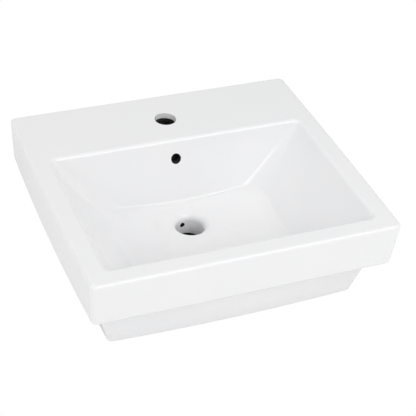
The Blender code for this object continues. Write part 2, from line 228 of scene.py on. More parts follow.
def smooth(piece, angle=SMOOTH_ANGLE):
    """Shade smooth with creases, and let broad faces rule the shading of the small ones beside them."""
    choose(piece)
    bpy.ops.object.shade_smooth_by_angle(angle=angle)
    apply_modifier(piece, "WEIGHTED_NORMAL", keep_sharp=True, weight=60)


def settle(piece, node):
    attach(piece, "root")
    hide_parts(node)


# ---- rings --------------------------------------------------------------------------------------

def box_ring(piece, name, depth, side, front, back, radius, side_bow=0.0, front_bow=0.0, sag=0.0):
    """A rounded rectangle, inset from the deck's outline: a plane with its corners rounded and no face."""
    near, far = front - DEPTH + BACK, BACK - back
    centre = Vector((0.0, (near + far) / 2, at(depth)))
    half_width, half_depth = HALF - side, (far - near) / 2
    bpy.ops.mesh.select_mode(type="VERT")
    bpy.ops.mesh.select_all(action="DESELECT")
    bpy.ops.mesh.primitive_plane_add(size=2, location=centre)
    bpy.ops.transform.resize(value=(half_width, half_depth, 1), center_override=centre)
    bpy.ops.mesh.bevel(offset=radius, segments=CORNER_SPANS, affect="VERTICES", clamp_overlap=False)
    keep_as(piece, name)
    bpy.ops.mesh.delete(type="ONLY_FACE")
    own = in_group(piece, name)
    pick(piece, "edges", lambda e: e.calc_length() > STRAIGHT_LENGTH and all(own(v) for v in e.verts))
    bpy.ops.mesh.subdivide(number_cuts=STRAIGHT_SPANS - 1)
    swell_ring(piece, name, centre, half_width, half_depth, radius, side_bow, front_bow, sag)
    return name


def swell_ring(piece, name, centre, half_width, half_depth, radius, side_bow, front_bow, sag):
    """Pull the middles of the ring's sides out and down; the pull fades to nothing at the corners."""
    flat_x, flat_y = half_width - radius, half_depth - radius
    pulls = [((0, -half_depth), (0, -front_bow), flat_x), ((0, half_depth), (0, 0), flat_x),
             ((-half_width, 0), (-side_bow, 0), flat_y), ((half_width, 0), (side_bow, 0), flat_y)]
    for (across, along), (out_x, out_y), reach in pulls:
        if not (out_x or out_y or sag):
            continue
        own = in_group(piece, name)
        middle = centre.xy + Vector((across, along))
        pick(piece, "verts", lambda v: own(v) and (v.co.xy - middle).length < SAME_PLACE)
        bpy.ops.transform.translate(value=(out_x, out_y, -sag), use_proportional_edit=True,
                                    use_proportional_connected=True, proportional_size=reach,
                                    proportional_edit_falloff="INVERSE_SQUARE")


def round_ring(piece, name, radius, centre, axis="Z", count=RING_COUNT):
    turn = {"Z": (0, 0, 0), "Y": (math.pi / 2, 0, 0)}[axis]
    bpy.ops.mesh.select_mode(type="VERT")
    bpy.ops.mesh.select_all(action="DESELECT")
    bpy.ops.mesh.primitive_circle_add(vertices=count, radius=radius, location=centre, rotation=turn)
    keep_as(piece, name)
    return name


def waste_ring(piece, name, depth, radius):
    return round_ring(piece, name, radius, (WASTE_X, WASTE_Y, at(depth)))


def quarter(steps):
    """Sine and cosine at even steps of a quarter turn, for fillets and rolled edges."""
    angles = [math.pi / 2 * i / steps for i in range(steps + 1)]
    return [(math.sin(angle), math.cos(angle)) for angle in angles]


# ---- the casting's levels, in order from the foot's outside edge --------------------------------

def lower_level(piece, name, depth, extra=0.0, back=0.0):
    """One level of the lower body, between the ledge and the foot."""
    share = (depth - APRON_HEIGHT) / (HEIGHT - APRON_HEIGHT)
    side = LOWER_SIDE + (FOOT_SIDE - LOWER_SIDE) * share + extra
    front = LOWER_FRONT + (FOOT_FRONT - LOWER_FRONT) * share + extra
    return box_ring(piece, name, depth, side, front, back, LOWER_CORNER, FOOT_SIDE_BOW, FOOT_FRONT_BOW)


def apron_level(piece, name, depth, inset, back=0.0):
    """One level of the deck's edge and the apron."""
    share = max(depth - TOP_EDGE, 0.0) / (APRON_HEIGHT - TOP_EDGE)
    lean = APRON_DRAFT * share + inset
    bow = SIDE_BOW + (APRON_BOW - SIDE_BOW) * share
    return box_ring(piece, name, depth, lean, lean, back, CORNER_RADIUS, bow)


def outside_levels(piece):
    """From the ground foot, round the ledge and the apron, to the deck."""
    names = []
    for i, (sine, cosine) in enumerate(quarter(4)):
        extra = FOOT_EDGE * (1 - sine)
        names.append(lower_level(piece, f"foot_{i}", HEIGHT - FOOT_EDGE * (1 - cosine), extra, extra))
    ledge = APRON_HEIGHT + LEDGE_FALL
    names.append(lower_level(piece, "lower_support", ledge + LEDGE_FILLET + SUPPORT))
    for i, (sine, cosine) in enumerate(quarter(6)):
        depth = ledge + LEDGE_FILLET * (1 - sine)
        names.append(lower_level(piece, f"ledge_{i}", depth, -LEDGE_FILLET * (1 - cosine)))
    for i, (sine, cosine) in enumerate(quarter(6)):
        depth = APRON_HEIGHT - APRON_EDGE * (1 - cosine)
        names.append(apron_level(piece, f"apron_edge_{i}", depth, APRON_EDGE * (1 - sine)))
    names.append(apron_level(piece, "apron_support", APRON_HEIGHT - APRON_EDGE - SUPPORT, 0.0))
    names.append(apron_level(piece, "apron_middle", APRON_HEIGHT / 2, 0.0))
    names.append(apron_level(piece, "apron_top", TOP_EDGE + SUPPORT, 0.0))
    for i, (sine, cosine) in enumerate(quarter(5)):
        inset = TOP_EDGE * (1 - cosine)
        names.append(apron_level(piece, f"deck_edge_{i}", TOP_EDGE * (1 - sine), inset, inset))
    names.append(apron_level(piece, "deck_support", 0.0, TOP_EDGE + SUPPORT, TOP_EDGE + SUPPORT))
    return names


def slant(run):
    """How much wider a leaning wall measures level than square to its face."""
    return math.hypot(run, FLOOR_DEPTH) / FLOOR_DEPTH


def bowl_level(piece, name, share, grow=0.0, drop=0.0, wall=0.0, tuck=0.0):
    """One level of the bowl's wall; share runs from 0 at the rim to 1 at the floor."""
    run = share ** WALL_CURVE
    side = SIDE_RIM + SIDE_RUN * run - grow - wall * slant(SIDE_RUN) + SIDE_TUCK * tuck
    front = FRONT_RIM + FRONT_RUN * run - grow - wall * slant(FRONT_RUN) + FRONT_TUCK * tuck
    back = BACK_DECK + BACK_RUN * run - grow - wall * slant(BACK_RUN) + BACK_TUCK * tuck
    radius = BOWL_CORNER + (FLOOR_CORNER - BOWL_CORNER) * run + grow + wall
    return box_ring(piece, name, FLOOR_DEPTH * share + drop, side, front, back, radius,
                    sag=FLOOR_SAG * share ** 2)


def bowl_levels(piece):
    """From the deck round the rim, down the walls, and round the crease onto the floor."""
    rim_share = RIM_RADIUS / FLOOR_DEPTH
    names = [bowl_level(piece, "rim_support", 0.0, RIM_RADIUS + SUPPORT)]
    for i, (sine, cosine) in enumerate(quarter(6)):
        names.append(bowl_level(piece, f"rim_{i}", rim_share * (1 - cosine), RIM_RADIUS * (1 - sine)))
    wall_end = 1 - FLOOR_FILLET / FLOOR_DEPTH
    wall_levels = 9
    for i in range(1, wall_levels + 1):
        share = rim_share + (wall_end - rim_share) * i / wall_levels
        names.append(bowl_level(piece, f"wall_{i}", share))
    crease_steps = 5
    for i in range(1, crease_steps + 1):
        along = i / crease_steps
        share = wall_end + (1 - wall_end) * (1 - (1 - along) ** 2)
        names.append(bowl_level(piece, f"crease_{i}", share, tuck=along ** 2))
    return names


def throat_levels(piece):
    """The dish, its roll into the throat, and the boss that carries the waste below."""
    names = [waste_ring(piece, "dish_outside", DISH_DEPTH - DISH_SLOPE_FALL, DISH_RADIUS + DISH_SLOPE)]
    for i, (sine, cosine) in enumerate(quarter(8)):
        depth = DISH_DEPTH + (THROAT_DEPTH - DISH_DEPTH) * (1 - cosine)
        names.append(waste_ring(piece, f"dish_{i}", depth,
                                WASTE_RADIUS + (DISH_RADIUS - WASTE_RADIUS) * (1 - sine)))
    names.append(waste_ring(piece, "throat_middle", OUTLET_DEPTH, WASTE_RADIUS))
    for i, (sine, cosine) in enumerate(quarter(3)):
        names.append(waste_ring(piece, f"throat_end_{i}", BOSS_DEPTH - BOSS_EDGE * (1 - sine),
                                WASTE_RADIUS + BOSS_EDGE * (1 - cosine)))
    for i, (sine, cosine) in enumerate(quarter(3)):
        names.append(waste_ring(piece, f"boss_end_{i}", BOSS_DEPTH - BOSS_EDGE * (1 - cosine),
                                BOSS_RADIUS - BOSS_EDGE * (1 - sine)))
    shell = DISH_DEPTH + SHELL + FLOOR_SAG
    for i, (sine, cosine) in enumerate(quarter(4)):
        names.append(waste_ring(piece, f"boss_top_{i}", shell + BOSS_FILLET * (1 - sine),
                                BOSS_RADIUS + BOSS_FILLET * (1 - cosine)))
    return names


def underside_levels(piece):
    """The hollow side: the bowl's back, the deck's ceiling, and down inside to the foot."""
    names = [bowl_level(piece, "shell_floor", 1.0, drop=SHELL)]
    ceiling = DECK_THICKNESS / FLOOR_DEPTH
    levels = 6
    for i in range(levels):
        share = 1.0 + (ceiling + INNER_FILLET / FLOOR_DEPTH - 1.0) * i / (levels - 1)
        names.append(bowl_level(piece, f"shell_{i}", share, wall=SHELL))
    names.append(bowl_level(piece, "shell_ceiling", ceiling, grow=INNER_FILLET / 2, wall=SHELL))
    inset = CHINA + INNER_FILLET
    names.append(box_ring(piece, "ceiling_support", DECK_THICKNESS, inset, inset, inset, CORNER_RADIUS))
    for i, (sine, cosine) in enumerate(quarter(4)[1:]):
        inset = CHINA + INNER_FILLET * (1 - sine)
        depth = DECK_THICKNESS + INNER_FILLET * (1 - cosine)
        names.append(box_ring(piece, f"ceiling_{i}", depth, inset, inset, inset, CORNER_RADIUS))
    step = APRON_HEIGHT - CHINA
    lean = CHINA + APRON_DRAFT
    side, front = LOWER_SIDE + CHINA, LOWER_FRONT + CHINA
    turn = STEP_TURN
    names.append(box_ring(piece, "step_top", step - turn, lean, lean, CHINA, CORNER_RADIUS))
    names.append(box_ring(piece, "step_corner", step, lean + turn, lean + turn, CHINA, CORNER_RADIUS))
    names.append(box_ring(piece, "step_edge", step + STEP_FALL - turn / 2, side - turn, front - turn,
                          CHINA, LOWER_CORNER))
    names.append(box_ring(piece, "step_bottom", step + STEP_FALL + turn / 2, side, front, CHINA,
                          LOWER_CORNER))
    side, front, edge = FOOT_SIDE + CHINA, FOOT_FRONT + CHINA, FOOT_INNER_EDGE
    names.append(box_ring(piece, "foot_inside", HEIGHT - edge, side, front, CHINA, LOWER_CORNER))
    names.append(box_ring(piece, "foot_inner_edge", HEIGHT, side - edge, front - edge, CHINA - edge,
                          LOWER_CORNER))
    return names


# ---- tools for holes and pads -------------------------------------------------------------------

def turned(name, profile, centre, axis="Z", count=RING_COUNT, ring=False):
    """A turned solid from (distance along the axis, radius): capped, or bridged back to its start."""
    piece = start(name)
    names = []
    for i, (distance, radius) in enumerate(profile):
        offset = Vector((0, 0, distance)) if axis == "Z" else Vector((0, distance, 0))
        names.append(round_ring(piece, f"turn_{i}", radius, Vector(centre) + offset, axis, count))
    apart = (0, 0, -1) if axis == "Z" else (0, -1, 0)
    for first, second in zip(names, names[1:]):
        bridge(piece, first, second, apart)
    if ring:
        bridge(piece, names[-1], names[0], apart)
    else:
        cap(piece, names[0])
        cap(piece, names[-1])
    face_outwards()
    leave()
    return piece


def duct_ring(piece, name, centre, lean, width, thickness, corner):
    """A rounded rectangle across the duct; a lean of zero faces straight down."""
    bpy.ops.mesh.select_mode(type="VERT")
    bpy.ops.mesh.select_all(action="DESELECT")
    bpy.ops.mesh.primitive_plane_add(size=2, location=centre)
    bpy.ops.transform.resize(value=(width / 2, thickness / 2, 1), center_override=centre)
    bpy.ops.mesh.bevel(offset=corner, segments=4, affect="VERTICES", clamp_overlap=False)
    bpy.ops.transform.rotate(value=lean, orient_axis="X", center_override=centre)
    keep_as(piece, name)
    bpy.ops.mesh.delete(type="ONLY_FACE")
    return name


def swept_duct(name, line, width, thickness, corner):
    """A duct with rounded corners along a line of (y, depth, lean)."""
    piece = start(name)
    names = [duct_ring(piece, f"duct_{i}", (WASTE_X, y, at(depth)), lean, width, thickness, corner)
             for i, (y, depth, lean) in enumerate(line)]
    for first, second in zip(names, names[1:]):
        bridge(piece, first, second, (0, 0, 0))
    cap(piece, names[0])
    cap(piece, names[-1])
    face_outwards()
    leave()
    return piece


def wall_y(depth):
    """Where the bowl's back wall is at this depth, midway across."""
    return BACK - BACK_DECK - BACK_RUN * (depth / FLOOR_DEPTH) ** WALL_CURVE


def passage_line(top, end_y):
    """Down behind the bowl's back wall, round an elbow, and level to the throat."""
    behind = SHELL + PASSAGE_THICKNESS / 2
    top_y, floor_y = wall_y(top) + behind, wall_y(FLOOR_DEPTH) + behind
    lean = math.atan2(top_y - floor_y, FLOOR_DEPTH - top)
    turn = math.pi / 2 - lean
    tangent = ELBOW_RADIUS * math.tan(turn / 2)
    corner_y = top_y - (OUTLET_DEPTH - top) * math.tan(lean)
    centre_y, centre_depth = corner_y - tangent, OUTLET_DEPTH - ELBOW_RADIUS
    line = [(top_y, top, lean)]
    for i in range(ELBOW_SPANS + 1):
        angle = lean + turn * i / ELBOW_SPANS
        line.append((centre_y + ELBOW_RADIUS * math.cos(angle),
                     centre_depth + ELBOW_RADIUS * math.sin(angle), angle))
    return line + [(end_y, OUTLET_DEPTH, math.pi / 2)]


def soften(piece, width, test, segments=3):
    """Round the edges for which the test holds."""
    choose(piece)
    bpy.ops.object.mode_set(mode="EDIT")
    pick(piece, "edges", test)
    bpy.ops.mesh.bevel(offset=width, segments=segments, affect="EDGES", clamp_overlap=True)
    leave()


def is_arris(edge, least=math.radians(30)):
    return len(edge.link_faces) == 2 and edge.calc_face_angle(0.0) > least


def add_tap_hole(piece):
    centre = Vector((0.0, BACK - TAP_SETBACK, DECK))
    hole = turned("tap_hole", [(-DECK_THICKNESS - OVERRUN, TAP_RADIUS), (OVERRUN, TAP_RADIUS)], centre)
    combine(piece, hole, "DIFFERENCE")

    def on_edge(edge):
        return is_arris(edge) and all(
            abs((v.co.xy - centre.xy).length - TAP_RADIUS) < NEAR and abs(v.co.z - DECK) < NEAR
            for v in edge.verts)
    soften(piece, TAP_EDGE, on_edge, 4)


def add_overflow(piece, bare, waterway_shade):
    """The duct behind the bowl, its hollow, and the round holes that let the water in and out."""
    top = OVERFLOW_DEPTH - OVERFLOW_RADIUS
    duct = swept_duct("duct", passage_line(top - PASSAGE_WALL, WASTE_Y + WASTE_RADIUS + SINK),
                      PASSAGE_WIDTH + 2 * PASSAGE_WALL, PASSAGE_THICKNESS + 2 * PASSAGE_WALL, DUCT_CORNER)
    combine(piece, duct, "UNION", bare)
    hollow = swept_duct("hollow", passage_line(top, WASTE_Y + WASTE_RADIUS + PASSAGE_WALL),
                        PASSAGE_WIDTH, PASSAGE_THICKNESS, HOLLOW_CORNER)
    # the hollow, the outlet and the overflow hole take the near-black painted shade finish
    combine(piece, hollow, "DIFFERENCE", waterway_shade)
    outlet = turned("outlet", [(WASTE_RADIUS / 2, OUTLET_RADIUS),
                               (WASTE_RADIUS + PASSAGE_WALL * 1.5, OUTLET_RADIUS)],
                    (WASTE_X + OUTLET_OFFSET, WASTE_Y, at(OUTLET_TOP)), "Y")
    combine(piece, outlet, "DIFFERENCE", waterway_shade)
    mouth = Vector((WASTE_X, wall_y(OVERFLOW_DEPTH), at(OVERFLOW_DEPTH)))
    hole = turned("overflow", [(-SHELL, OVERFLOW_RADIUS),
                               (SHELL + PASSAGE_THICKNESS / 2, OVERFLOW_RADIUS)], mouth, "Y")
    combine(piece, hole, "DIFFERENCE", waterway_shade)

    def on_edge(edge):
        return is_arris(edge) and all(
            abs(Vector((v.co.x - mouth.x, v.co.z - mouth.z)).length - OVERFLOW_RADIUS) < NEAR
            and v.co.y < mouth.y + SHELL / 2 for v in edge.verts)
    soften(piece, OVERFLOW_EDGE, on_edge, 4)


def fixing_places():
    """Centre of each wall fixing on the back plane, from the frame's nuts."""
    places = []
    for side in ("left", "right"):
        low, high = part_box("nut_" + side)
        places.append((side, Vector(((low.x + high.x) / 2, BACK, (low.z + high.z) / 2))))
    return places


def add_fixing_holes(piece, bare):
    seat = CHINA + PAD_HEIGHT
    for side, place in fixing_places():
        pad = turned("pad_" + side, [(-seat, FIXING_PAD - PAD_EDGE), (PAD_EDGE - seat, FIXING_PAD),
                                     (SINK - CHINA, FIXING_PAD)], place, "Y")
        combine(piece, pad, "UNION", bare)
        hole = turned("hole_" + side, [(-seat - OVERRUN, FIXING_HOLE), (OVERRUN, FIXING_HOLE)], place, "Y")
        combine(piece, hole, "DIFFERENCE", bare)


def make_casting(glaze, bare, waterway_shade):
    piece = start("china_casting")
    outside = outside_levels(piece)
    bowl = bowl_levels(piece)
    throat = throat_levels(piece)
    under = underside_levels(piece)
    order = outside + bowl + throat + under
    for first, second in zip(order, order[1:] + order[:1]):
        bridge(piece, first, second)
    for finish in (glaze, bare, waterway_shade):
        piece.data.materials.append(finish)
    hidden = throat[throat.index("boss_end_0"):] + under
    select_groups(piece, hidden + outside[:1])
    piece.active_material_index = 1
    bpy.ops.object.material_slot_assign()
    split_between(piece, bowl[-1], throat[0], FLOOR_CUTS)
    face_outwards()
    leave()
    add_overflow(piece, bare, waterway_shade)
    add_tap_hole(piece)
    add_fixing_holes(piece, bare)
    piece.vertex_groups.clear()
    return piece


# ---- fixings: each modelled once about the line x = 0, z = 0, and placed by set_out -------------
TURN_COUNT = 36
MACHINE_PITCH, WOOD_PITCH = 0.0015, 0.0036
MACHINE_THREAD, WOOD_THREAD, NUT_THREAD = 0.0008, 0.0012, 0.0005     # depth of each thread
MACHINE_SHARE, WOOD_SHARE = 0.85, 0.50      # width of the ridge at its root, as a share of the pitch
ROOT_SINK = 0.0003
CREST_SHARE = 0.25
BOLT_RADIUS, BOLT_CHAMFER = 0.005, 0.001
SHANK_END, WOOD_START = 0.004, 0.008        # ends of the plain shank, behind the wall's face
WOOD_POINT, POINT_RADIUS, POINT_LIMIT = 0.009, 0.0004, 0.0006
BORE = 0.0053
NUT_CHAMFER, NUT_CHAMFER_SHARE = 0.0012, 0.97
WASHER_EDGE = 0.0005
BUSH_FLANGE, BUSH_EDGE, BUSH_PLAY = 0.003, 0.0004, 0.0003
RIB_COUNT, RIB_HEIGHT = 9, 0.0006
RIB_TOP, RIB_END = 0.75, 0.85               # where a rib is full and where it ends, in its pitch
TIP_SHARE = 0.6                             # the plug's bore at its tip, as a share of the bore
PLUG_COLLAR, PLUG_TAPER, PLUG_TIP_WALL = 0.002, 0.006, 0.0007
COLLAR_SHARE = 0.6                          # the straight part of the collar, before it falls to the ribs
SLIT_WIDTH, SLIT_START = 0.0014, 0.015


def ridge(name, crest, depth, pitch, share, first, last):
    """A right-handed thread's ridge, its root sunk a little into the core."""
    piece = start(name)
    reach = (depth + ROOT_SINK) / 2
    centre = Vector((crest - reach, first, 0))
    bpy.ops.mesh.primitive_plane_add(size=2, location=centre)
    bpy.ops.transform.resize(value=(reach, pitch * share / 2, 1), center_override=centre)
    pick(piece, "verts", lambda v: v.co.x > centre.x)
    bpy.ops.transform.resize(value=(1, CREST_SHARE, 1), center_override=centre)
    bpy.ops.mesh.select_all(action="SELECT")
    bpy.ops.mesh.delete(type="ONLY_FACE")
    leave()
    apply_modifier(piece, "SCREW", axis="Y", screw_offset=pitch, steps=TURN_COUNT,
                   render_steps=TURN_COUNT, iterations=math.ceil((last - first) / pitch))
    bpy.ops.object.mode_set(mode="EDIT")
    bpy.ops.mesh.select_all(action="SELECT")
    bpy.ops.mesh.fill_holes(sides=4)
    face_outwards()
    leave()
    return piece


def turned_about_line(name, profile, finish, ring=False):
    piece = turned(name, profile, (0, 0, 0), "Y", TURN_COUNT, ring)
    piece.data.materials.append(finish)
    return piece


def make_bolt(finish):
    """A hanger bolt: a machine thread for the nut, a plain shank and a wood screw to a point."""
    low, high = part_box("hanger_bolt_left")
    machine_core, wood_core = BOLT_RADIUS - MACHINE_THREAD, BOLT_RADIUS - WOOD_THREAD
    bolt = turned_about_line("threaded_hanger_bolt", [
        (low.y, machine_core - BOLT_CHAMFER / 2), (low.y + BOLT_CHAMFER / 2, machine_core),
        (0.0, machine_core), (MACHINE_THREAD, BOLT_RADIUS), (SHANK_END, BOLT_RADIUS),
        (WOOD_START, wood_core), (high.y - WOOD_POINT, wood_core), (high.y, POINT_RADIUS)], finish)
    combine(bolt, ridge("machine_ridge", BOLT_RADIUS, MACHINE_THREAD, MACHINE_PITCH, MACHINE_SHARE,
                        low.y - MACHINE_PITCH, -MACHINE_PITCH), "UNION")
    combine(bolt, ridge("wood_ridge", BOLT_RADIUS, WOOD_THREAD, WOOD_PITCH, WOOD_SHARE,
                        WOOD_START - WOOD_PITCH / 2, high.y), "UNION")
    envelope = turned_about_line("bolt_envelope", [
        (low.y, BOLT_RADIUS - BOLT_CHAMFER), (low.y + BOLT_CHAMFER, BOLT_RADIUS + ROOT_SINK),
        (high.y - WOOD_POINT, BOLT_RADIUS + ROOT_SINK), (high.y, POINT_LIMIT)], finish)
    combine(bolt, envelope, "INTERSECT")
    return bolt


def make_nut(finish):
    low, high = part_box("nut_left")
    flat, corner = sorted(((high.x - low.x) / 2, (high.z - low.z) / 2))
    chamfered = flat * NUT_CHAMFER_SHARE
    nut = turned("threaded_nut", [(low.y, corner), (high.y, corner)], (0, 0, 0), "Y", 6)
    nut.data.materials.append(finish)
    envelope = turned_about_line("nut_envelope", [
        (low.y, chamfered), (low.y + NUT_CHAMFER, corner + ROOT_SINK),
        (high.y - NUT_CHAMFER, corner + ROOT_SINK), (high.y, chamfered)], finish)
    combine(nut, envelope, "INTERSECT")
    bore = turned_about_line("nut_bore", [
        (low.y - ROOT_SINK, BORE + NUT_CHAMFER), (low.y + NUT_CHAMFER * 0.6, BORE),
        (high.y - NUT_CHAMFER * 0.6, BORE), (high.y + ROOT_SINK, BORE + NUT_CHAMFER)], finish)
    combine(bore, ridge("nut_ridge", BORE + NUT_THREAD, NUT_THREAD, MACHINE_PITCH, MACHINE_SHARE,
                        low.y, high.y - MACHINE_PITCH), "UNION")
    combine(nut, bore, "DIFFERENCE")
    return nut


def make_washer(finish):
    low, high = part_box("washer_left")
    rim = (high.x - low.x) / 2
    washer = turned_about_line("round_washer", [(low.y, BORE), (low.y, rim), (high.y, rim),
                                                (high.y, BORE)], finish, ring=True)
    soften(washer, WASHER_EDGE, is_arris)
    return washer


def make_bush(finish):
    """The flanged bush that keeps the bolt and washer off the china."""
    low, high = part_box("collar_bush_left")
    rim = (high.x - low.x) / 2
    sleeve = FIXING_HOLE - BUSH_PLAY
    bush = turned_about_line("flanged_bush", [
        (low.y, BORE), (low.y, rim), (low.y + BUSH_FLANGE, rim), (low.y + BUSH_FLANGE, sleeve),
        (high.y, sleeve), (high.y, BORE)], finish, ring=True)
    soften(bush, BUSH_EDGE, is_arris)
    return bush


def make_plug(finish):
    """A ribbed expansion plug, slit in two planes from its tip."""
    low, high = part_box("wall_plug_left")
    rim = (high.x - low.x) / 2
    body = rim - RIB_HEIGHT
    ribs_end = high.y - PLUG_TAPER
    pitch = (ribs_end - low.y - PLUG_COLLAR) / RIB_COUNT
    outside = [(low.y, rim), (low.y + PLUG_COLLAR * COLLAR_SHARE, rim)]
    for i in range(RIB_COUNT):
        foot = low.y + PLUG_COLLAR + pitch * i
        outside += [(foot, body), (foot + pitch * RIB_TOP, rim), (foot + pitch * RIB_END, rim)]
    outside += [(ribs_end, body), (high.y, BORE * TIP_SHARE + PLUG_TIP_WALL)]
    inside = [(high.y, BORE * TIP_SHARE), (ribs_end, BORE), (low.y, BORE)]
    plug = turned_about_line("ribbed_wall_plug", outside + inside, finish, ring=True)
    wide, narrow = rim * 1.2, SLIT_WIDTH / 2
    first, last = low.y + SLIT_START, high.y + ROOT_SINK
    middle = (0, (first + last) / 2, 0)
    for name, across, upright in (("slit_across", wide, narrow), ("slit_upright", narrow, wide)):
        slit = start(name)
        bpy.ops.mesh.primitive_cube_add(size=2, location=middle)
        bpy.ops.transform.resize(value=(across, (last - first) / 2, upright), center_override=middle)
        face_outwards()
        leave()
        combine(plug, slit, "DIFFERENCE")
    return plug


def set_out(piece, node):
    """Put a fixing on its left bolt line and a copy with its own mesh on the right one."""
    smooth(piece, FIXING_ANGLE)
    choose(piece)
    bpy.ops.object.duplicate(linked=False)
    right = bpy.context.object
    base = piece.name
    right.name = base + "_right"
    piece.name = base + "_left"
    for item, (side, place) in zip((piece, right), fixing_places()):
        choose(item)
        bpy.ops.object.mode_set(mode="EDIT")
        bpy.ops.mesh.select_all(action="SELECT")
        bpy.ops.transform.translate(value=(place.x, 0, place.z))
        leave()
        settle(item, f"{node}_{side}")


# ---- materials ----------------------------------------------------------------------------------

def new_group(name, inputs, outputs):
    tree = bpy.data.node_groups.new(name, "ShaderNodeTree")
    for label, value in inputs:
        socket = tree.interface.new_socket(label, in_out="INPUT", socket_type="NodeSocketFloat")
        socket.default_value = value
    for label in outputs:
        tree.interface.new_socket(label, in_out="OUTPUT", socket_type="NodeSocketFloat")
    return tree, tree.nodes.new("NodeGroupInput"), tree.nodes.new("NodeGroupOutput")


def ripple_group():
    """Soft waves and a finer grain, as a height; for glaze flow, rolled metal and moulded nylon."""
    tree, given, out = new_group("ripple", [("Wave Scale", 30.0), ("Grain Scale", 400.0),
                                            ("Grain Share", 0.2)], ["Height"])
    place = tree.nodes.new("ShaderNodeTexCoord")
    wave = tree.nodes.new("ShaderNodeTexNoise")
    grain = tree.nodes.new("ShaderNodeTexNoise")
    mix = tree.nodes.new("ShaderNodeMix")
    wave.inputs["Detail"].default_value = 2.0
    grain.inputs["Detail"].default_value = 4.0
    link = tree.links.new
    link(place.outputs["Object"], wave.inputs["Vector"])
    link(place.outputs["Object"], grain.inputs["Vector"])
    link(given.outputs["Wave Scale"], wave.inputs["Scale"])
    link(given.outputs["Grain Scale"], grain.inputs["Scale"])
    link(given.outputs["Grain Share"], mix.inputs["Factor"])
    link(wave.outputs["Fac"], mix.inputs["A"])
    link(grain.outputs["Fac"], mix.inputs["B"])
    link(mix.outputs["Result"], out.inputs["Height"])
    return tree


def drift_group():
    """A slow change across the surface between two values, as a tint or a roughness."""
    tree, given, out = new_group("drift", [("Scale", 6.0), ("Low", 0.0), ("High", 1.0)], ["Value"])
    place = tree.nodes.new("ShaderNodeTexCoord")
    cloud = tree.nodes.new("ShaderNodeTexNoise")
    span = tree.nodes.new("ShaderNodeMapRange")
    cloud.inputs["Detail"].default_value = 3.0
    span.inputs["From Min"].default_value = 0.35
    span.inputs["From Max"].default_value = 0.65
    link = tree.links.new
    link(place.outputs["Object"], cloud.inputs["Vector"])
    link(given.outputs["Scale"], cloud.inputs["Scale"])
    link(cloud.outputs["Fac"], span.inputs["Value"])
    link(given.outputs["Low"], span.inputs["To Min"])
    link(given.outputs["High"], span.inputs["To Max"])
    link(span.outputs["Result"], out.inputs["Value"])
    return tree


def speck_group():
    """Sparse small specks, as a mask."""
    tree, given, out = new_group("specks", [("Scale", 150.0), ("Reach", 0.06)], ["Mask"])
    place = tree.nodes.new("ShaderNodeTexCoord")
    cells = tree.nodes.new("ShaderNodeTexVoronoi")
    near = tree.nodes.new("ShaderNodeMath")
    near.operation = "LESS_THAN"
    link = tree.links.new
    link(place.outputs["Object"], cells.inputs["Vector"])
    link(given.outputs["Scale"], cells.inputs["Scale"])
    link(cells.outputs["Distance"], near.inputs[0])
    link(given.outputs["Reach"], near.inputs[1])
    link(near.outputs["Value"], out.inputs["Mask"])
    return tree


class Finish:
    """A material with its shader and short ways to add the shared groups."""

    def __init__(self, name):
        self.material = bpy.data.materials.new(name)
        self.material.use_nodes = True
        self.nodes = self.material.node_tree.nodes
        self.link = self.material.node_tree.links.new
        self.shader = self.nodes["Principled BSDF"]

    def set(self, **values):
        for key, value in values.items():
            self.shader.inputs[key.replace("_", " ").title().replace("Ior", "IOR")].default_value = value
        return self

    def add(self, tree, **values):
        node = self.nodes.new("ShaderNodeGroup")
        node.node_tree = tree
        for key, value in values.items():
            node.inputs[key.replace("_", " ").title()].default_value = value
        return node.outputs[0]

    def blend(self, factor, first, second):
        """A colour between two others; either may be a socket."""
        mix = self.nodes.new("ShaderNodeMix")
        mix.data_type = "RGBA"
        self.link(factor, mix.inputs["Factor"])
        for socket, colour in ((mix.inputs[6], first), (mix.inputs[7], second)):
            if isinstance(colour, bpy.types.NodeSocket):
                self.link(colour, socket)
            else:
                socket.default_value = (*colour, 1.0)
        return mix.outputs[2]

    def tint(self, drift, scale, colours, high=1.0):
        """A colour that drifts between a light and a deep one."""
        return self.blend(self.add(drift, scale=scale, low=0.0, high=high), *colours)

    def colour(self, socket):
        self.link(socket, self.shader.inputs["Base Color"])

    def rough(self, drift, scale, low, high):
        self.link(self.add(drift, scale=scale, low=low, high=high), self.shader.inputs["Roughness"])

    def relief(self, ripple, waves, grain, share, strength, distance):
        bump = self.nodes.new("ShaderNodeBump")
        bump.inputs["Strength"].default_value = strength
        bump.inputs["Distance"].default_value = distance
        height = self.add(ripple, wave_scale=waves, grain_scale=grain, grain_share=share)
        self.link(height, bump.inputs["Height"])
        self.link(bump.outputs["Normal"], self.shader.inputs["Normal"])


# a light and a deep colour of each finish
GLAZE_COLOURS = (0.885, 0.885, 0.892), (0.862, 0.866, 0.876)
BARE_COLOURS = (0.80, 0.79, 0.76), (0.70, 0.68, 0.64)
# painted shade: the overflow's inside is near black, so its hollow and holes read unlit
WATERWAY_SHADE_COLOURS = (0.030, 0.029, 0.027), (0.018, 0.017, 0.016)
ZINC_COLOURS = (0.74, 0.76, 0.79), (0.62, 0.64, 0.63)
WHITE_COLOURS = (0.84, 0.84, 0.81), (0.78, 0.78, 0.74)
GREY_COLOURS = (0.36, 0.37, 0.38), (0.29, 0.30, 0.31)
SPECK_COLOUR = (0.52, 0.47, 0.40)


def glazed_china(ripple, drift):
    """White glaze over china: glossy, with a slow flow in it."""
    glaze = Finish("glazed_china").set(roughness=0.07, ior=1.52)
    glaze.colour(glaze.tint(drift, 7.0, GLAZE_COLOURS, high=0.6))
    glaze.rough(drift, scale=11.0, low=0.055, high=0.10)
    glaze.relief(ripple, waves=22.0, grain=260.0, share=0.05, strength=0.10, distance=0.0004)
    return glaze.material


